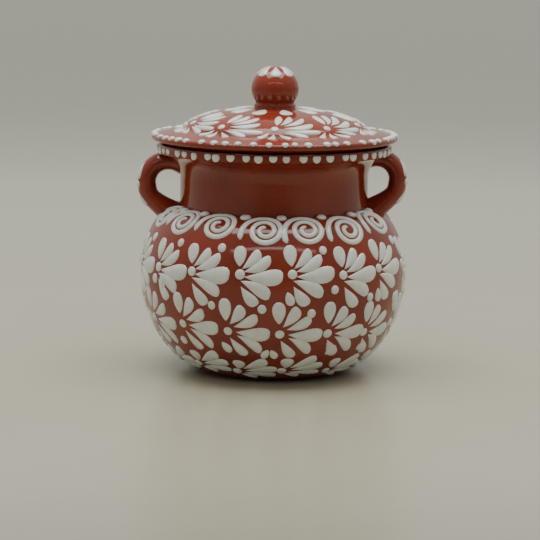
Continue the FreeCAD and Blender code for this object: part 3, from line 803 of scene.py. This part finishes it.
def length_at(points, wanted, axis=1):
    """Length along an outline where its height (axis 1) or radius (axis 0) first passes wanted."""
    run = 0.0
    for (r0, z0), (r1, z1) in zip(points, points[1:]):
        step = math.hypot(r1 - r0, z1 - z0)
        before, after = (r0, r1) if axis == 0 else (z0, z1)
        if min(before, after) <= wanted <= max(before, after) and before != after:
            return run + step * (wanted - before) / (after - before)
        run += step
    return run


def dot_at(azimuth, level, diameter, height, shape=1.0):
    """A drop; shape is how much longer it is up the clay than across."""
    return (azimuth, level, (0, 0), 0.0, 0.0, (diameter, diameter * shape, height))


hand = random.Random(5)


def wander(amount):
    """A hand's small miss, either way."""
    return hand.uniform(-amount, amount)


def petal_at(azimuth, level, tip, end, width, height, bow=0.0):
    """A petal from its tip to its round end, both beside the middle of its fan.

    bow bends it, so that it leaves the middle to one side and then curls round to its end.
    """
    run_x, run_y = end[0] - tip[0], end[1] - tip[1]
    length = math.hypot(run_x, run_y)
    turn = math.atan2(run_y, run_x) - math.atan(bow * length)
    return (azimuth, level, tip, math.degrees(turn), bow, (length, width, height))


def fans(name, outline, places, petals, height, size=1.0):
    """One piece of slip: at each (azimuth, level) a dot with its petals round it."""
    drawn = {petal_mark: [], egg_mark: [], dot_mark: []}
    for azimuth, level in places:
        drawn[dot_mark].append(dot_at(azimuth, level, (7.2 + wander(0.5)) * size, height * 1.1))
        for mark, tip, end, width, bow in petals:
            end = (end[0] + wander(0.8) * size, end[1] + wander(0.8) * size)
            drawn[mark].append(petal_at(azimuth, level, tip, end, width * (1 + wander(0.05)),
                                        height, bow))
    return joined(name, [trailed(name + "_" + mark.name, outline, mark, marks)
                         for mark, marks in drawn.items() if marks])


def around_pot(places):
    """(azimuth, length up the side) for (azimuth, height) places on the front, and the same
    again on the back with a hand's small misses."""
    front = [(azimuth, length_at(pot_outside, height)) for azimuth, height in places]
    return front + [(azimuth + 180 + wander(1.5), level + wander(0.8)) for azimuth, level in front]


def finished(piece, node, body):
    """Hands over one piece of slip: the CAD node that it stands for and the body it moves with."""
    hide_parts(node)
    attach(piece, body)


pot_line = outline_object("pot_side_line", pot_outside)


# ---- Rim beads --------------------------------------------------------------------------
# Drops of white slip round the rim's upright band, set one by one while the pot turns slowly
# on the wheel, so they wander and differ a little.

rim_bead_count = 52
rim_bead_level = length_at(pot_outside, rim_top - rim_band / 2)
rim_beads = [dot_at(360.0 * i / rim_bead_count + wander(1.4), rim_bead_level + wander(0.6),
                    6.1 + wander(0.8), 1.4, 1 + wander(0.08)) for i in range(rim_bead_count)]
finished(trailed("slip_rim_beads", pot_line, dot_mark, rim_beads), "rim_beads", "pot")


# ---- Shoulder spirals -------------------------------------------------------------------
# Each is one line of white slip, trailed in one go: it starts low on the left, goes over the
# top and winds in. Seven stand on the front and seven on the back, between the straps' feet.

spiral_turns = 2.36
spiral_start = math.radians(209.0)
spiral_core = 1.4
spiral_coil = 12.3
spiral_tail = 5.2
spiral_line = 1.8
spiral_line_growth = 0.65
spiral_places = ((196.8, 119.0), (218.8, 118.2), (241.8, 118.4), (265.8, 116.4), (286.0, 116.8),
                 (308.2, 115.4), (332.6, 118.4))


def spiral_drawing(steps=120, across=8):
    """The spiral's line, in mm, with its outer end thrown out to the left."""
    middle = []
    for i in range(steps + 1):
        share = i / steps
        angle = spiral_start - 2 * math.pi * spiral_turns * (1 - share)
        reach = spiral_core + spiral_coil * share ** 0.74 + spiral_tail * share ** 11
        middle.append(Vector((reach * math.cos(angle), reach * math.sin(angle))))
    rings = []
    for i, spot in enumerate(middle):
        run = (middle[min(i + 1, steps)] - middle[max(i - 1, 0)]).normalized()
        left = Vector((-run.y, run.x))
        blunt = min(1.0, (i + 0.15) / 4, (steps - i + 0.15) / 1.4) ** 0.5
        half = (spiral_line + spiral_line_growth * i / steps) * blunt
        ring = []
        for k in range(across + 1):
            side, height = across_at(k, across)
            place = spot + left * half * side
            ring.append((place.x, place.y, height * blunt if height > 0 else height))
        rings.append(ring)
    return tube_drawing("spiral_drawing", rings)


spiral_mark = spiral_drawing()
spirals = []
for azimuth, level in around_pot(spiral_places):
    grow = 0.98 + wander(0.03)
    spirals.append((azimuth, level, (0, 0), wander(8.0), 0.0, (grow, grow, slip_relief)))
finished(trailed("slip_spirals", pot_line, spiral_mark, spirals), "shoulder_spirals", "pot")


# ---- Neck dots --------------------------------------------------------------------------
# Fat drops of white slip in the corner at the neck's foot, one to the right of every spiral's
# top.

neck_dot_azimuths = (206.4, 226.8, 254.0, 274.4, 298.0, 320.6, 343.0)
neck_dot_height = neck_foot - 0.5
neck_dots = [dot_at(azimuth, level, 7.8 + wander(0.8), 2.0, 1.05)
             for azimuth, level in around_pot((azimuth, neck_dot_height)
                                              for azimuth in neck_dot_azimuths)]
finished(trailed("slip_neck_dots", pot_line, dot_mark, neck_dots), "neck_dots", "pot")


# ---- Belly fans -------------------------------------------------------------------------
# Three rows of half-open flowers in white slip. A dot is set first, and then the petals are
# trailed round it, each thin at the dot and round at its far end. Every fan opens to the right.

upper_places = ((190.4, 84.6), (212.5, 84.2), (233.8, 85.1), (256.2, 85.7), (278.0, 86.3),
                (300.5, 84.4), (320.8, 86.4), (343.8, 85.0))
upper_petals = (
    (egg_mark, (-0.5, 5.6), (-1.7, 21.5), 10.4, 0.0),
    (petal_mark, (1.0, 3.8), (13.5, 17.4), 9.0, 0.010),
    (petal_mark, (2.4, 1.8), (22.0, 12.2), 9.4, 0.012),
    (petal_mark, (2.6, -1.6), (32.0, -0.4), 12.8, 0.004),
    (petal_mark, (-0.2, -4.4), (22.6, -14.6), 10.6, -0.006),
    (petal_mark, (0.6, -8.4), (11.6, -23.2), 9.6, 0.006),
)
middle_places = ((202.0, 43.6), (226.3, 44.6), (250.0, 42.9), (273.2, 41.7), (295.2, 41.2),
                 (316.2, 39.0), (338.0, 42.0), (0.2, 43.0))
middle_petals = (
    (egg_mark, (-0.6, 8.2), (-1.2, 25.0), 9.8, 0.0),
    (petal_mark, (1.8, 5.6), (11.9, 20.0), 9.2, 0.010),
    (petal_mark, (4.4, 3.8), (21.6, 11.8), 9.0, 0.012),
    (petal_mark, (5.6, -0.2), (31.4, -0.9), 12.2, 0.004),
    (petal_mark, (6.0, -3.0), (24.0, -16.2), 9.6, -0.010),
    (petal_mark, (0.8, -5.0), (11.9, -20.4), 9.2, 0.006),
)
lower_places = ((197.5, 11.0), (223.2, 12.2), (249.0, 9.4), (275.5, 11.0), (304.0, 9.0),
                (330.0, 10.5), (354.0, 11.0))
lower_petals = (
    (egg_mark, (2.6, 3.8), (3.6, 14.6), 9.2, 0.0),
    (petal_mark, (5.0, 4.0), (22.6, 14.6), 10.0, 0.008),
    (petal_mark, (6.0, 1.2), (30.0, 5.4), 9.4, 0.0),
    (petal_mark, (4.4, -1.8), (29.5, -3.6), 7.4, 0.0),
    (petal_mark, (1.6, -4.0), (15.0, -8.2), 6.2, 0.0),
)
for row, places, petals in (("upper", upper_places, upper_petals),
                            ("middle", middle_places, middle_petals),
                            ("lower", lower_places, lower_petals)):
    finished(fans("slip_fans_" + row, pot_line, around_pot(places), petals, slip_relief),
             "belly_flowers_" + row, "pot")


# ---- Belly dots and drops ---------------------------------------------------------------
# Single touches of the nozzle that fill the gaps between the fans: round dots, and drops that
# are pulled to a tip. They are set last, where there is room.

fill_height = 1.3
fill_dots = ((202.0, 104.0), (224.5, 104.0), (247.0, 103.5), (292.0, 102.6), (337.5, 103.8),
             (194.0, 64.0), (209.8, 75.0), (243.5, 61.7), (265.5, 60.8), (286.5, 57.4),
             (296.5, 74.1), (315.4, 66.0), (335.0, 62.0), (356.0, 62.0), (200.0, 29.5),
             (223.0, 31.0), (318.0, 27.0), (342.0, 29.0))
fill_drops = (((215.7, 74.0), (-1.6, 5.2), (1.0, -5.4), 7.0),
              ((277.4, 68.6), (-2.6, 5.0), (1.0, -5.0), 7.2),
              ((320.6, 67.0), (-1.0, 5.0), (1.0, -5.4), 7.0),
              ((248.0, 30.0), (-3.0, 4.4), (2.4, -4.8), 7.2),
              ((266.3, 25.4), (2.6, 4.6), (-1.6, -3.8), 6.2),
              ((270.4, 25.2), (-1.6, 4.6), (2.0, -3.8), 6.2),
              ((299.4, 27.0), (-3.6, -3.8), (3.0, 4.6), 7.0))
dots = [dot_at(azimuth, level, 6.6 + wander(0.5), fill_height, 1.08)
        for azimuth, level in around_pot(fill_dots)]
drops = []
for place, tip, end, width in fill_drops:
    drops += [petal_at(azimuth, level, tip, end, width, fill_height)
              for azimuth, level in around_pot([place])]
finished(joined("slip_fill_dots", [trailed("dots", pot_line, dot_mark, dots),
                                   trailed("drops", pot_line, egg_mark, drops)]),
         "belly_dots", "pot")


# ---- Handle petals ----------------------------------------------------------------------
# On each strap's back, a little to the front of its middle: a petal that falls, a dot, and a
# petal that falls on down to the foot, all of white slip.

strap_mark_front = 3.6
strap_mark_rise = 1.1
strap_mark_rows = ((petal_mark, 19.0, 14.0, 7.0), (dot_mark, 1.2, 5.6, 5.6),
                   (petal_mark, -3.4, 13.5, 6.5))


def strap_marks(name, side, reach, height, thickness):
    """Marks along one strap, each (drawing, run of its start, length, width)."""
    half_thick = thickness / 2
    half_wide = strap_width / 2
    work = bmesh.new()
    for mark, start, long, wide in strap_mark_rows:
        first = len(work.verts)
        work.from_mesh(mark.data)
        work.verts.ensure_lookup_table()
        for vert in work.verts[first:]:
            along, across, rise = vert.co
            centre, normal = strap_at((start - along * long) * strap_upper_bend
                                      / (strap_upper_bend + half_thick), reach, height, thickness)
            angle = (across * wide - strap_mark_front) / (half_wide * 0.9)
            lean = Vector((half_wide * math.cos(angle), half_thick * math.sin(angle))).normalized()
            rise = max(rise, rise * strap_mark_rise)
            spot = centre + normal * (half_thick * math.cos(angle) + rise * lean.x)
            vert.co = (side * spot.x * MM, (half_wide * math.sin(angle) + rise * lean.y) * MM,
                       spot.z * MM)
    bmesh.ops.recalc_face_normals(work, faces=work.faces)
    for face in work.faces:
        face.smooth = True
    return made_of(work, name)


finished(joined("slip_handle_marks", [strap_marks("marks_" + side_name, *hand_made)
                                      for side_name, hand_made in strap_hands.items()]),
         "handle_petals", "pot")


# ---- Lid beads --------------------------------------------------------------------------
# Drops of white slip over the upper corner of the lid's edge, set while the lid turns slowly.
# They stand a little higher than the rim's and are less even.

lid_line = outline_object("lid_top_line", lid_top)
lid_bead_count = 54
lid_bead_level = length_at(lid_top, lid_edge_top - 0.01)
lid_beads = [dot_at(360.0 * i / lid_bead_count + wander(1.8), lid_bead_level + wander(0.5),
                    5.8 + wander(0.8), 1.6, 1 + wander(0.12)) for i in range(lid_bead_count)]
finished(trailed("slip_lid_beads", lid_line, dot_mark, lid_beads), "lid_edge_beads", "lid")


# ---- Lid flowers ------------------------------------------------------------------------
# Ten flowers of white slip in a ring on the dome: a dot with slim petals that climb the dome,
# run along it and fall to the brim.

lid_fan_level = length_at(lid_top, 64.5, axis=0)
lid_fan_size = 0.85
lid_petals = (
    (egg_mark, (1.6, 5.2), (4.4, 22.5), 7.8, 0.0),
    (petal_mark, (4.2, 4.8), (16.0, 20.0), 7.0, 0.012),
    (petal_mark, (6.4, 3.8), (26.5, 15.6), 6.8, 0.014),
    (petal_mark, (6.4, 1.2), (30.0, 5.2), 6.8, 0.012),
    (petal_mark, (6.4, -1.8), (33.0, -3.8), 5.0, 0.004),
    (petal_mark, (5.0, -3.8), (22.0, -9.4), 4.8, -0.010),
    (petal_mark, (2.6, -5.0), (10.6, -14.2), 4.8, -0.010),
    (petal_mark, (-0.6, -4.6), (-1.8, -15.8), 5.0, 0.0),
    (petal_mark, (-3.4, -3.8), (-11.0, -13.0), 4.8, 0.010),
)
lid_places = [(azimuth + turn, lid_fan_level + wander(0.6))
              for azimuth in (199.0, 233.0, 270.0, 306.0, 342.0) for turn in (0, 180)]
finished(fans("slip_lid_flowers", lid_line, lid_places, lid_petals, 1.0, lid_fan_size),
         "lid_flowers", "lid")


# ---- Crown petals -----------------------------------------------------------------------
# Ten plain petals of white slip in a ring round the knob's foot, with their tips towards it and
# their round ends down the dome.

crown_petal_count = 10
crown_level = length_at(lid_top, 28.0, axis=0)
crown = [petal_at(250.0 + 360.0 / crown_petal_count * i + wander(2.0), crown_level, (0, 8.0),
                  (wander(1.0), -10.6), 9.2 + wander(0.6), 1.0) for i in range(crown_petal_count)]
finished(trailed("slip_crown_petals", lid_line, egg_mark, crown), "lid_crown_petals", "lid")


# ---- Knob petals ------------------------------------------------------------------------
# Seven petals of white slip that hang over the knob like a flower, with their thin tips at its
# top and their round ends on its side.

knob_line = outline_object("knob_line", knob_side)
knob_petal_count = 7
knob_petal_level = length_at(knob_side, knob_height + 12.3)
knob_petals = [petal_at(270.0 + 360.0 / knob_petal_count * i + wander(3.0), knob_petal_level,
                        (0, 10.6), (0, -3.6), 8.4 + wander(0.4), 0.8)
               for i in range(knob_petal_count)]
finished(trailed("slip_knob_petals", knob_line, petal_mark, knob_petals), "knob_petals", "lid")


# ---- Clearing up ------------------------------------------------------------------------
# The drawings and outlines that only guided the slip are cleared away.

for helper in (dot_mark, petal_mark, egg_mark, spiral_mark, pot_line, lid_line, knob_line):
    bpy.data.objects.remove(helper)
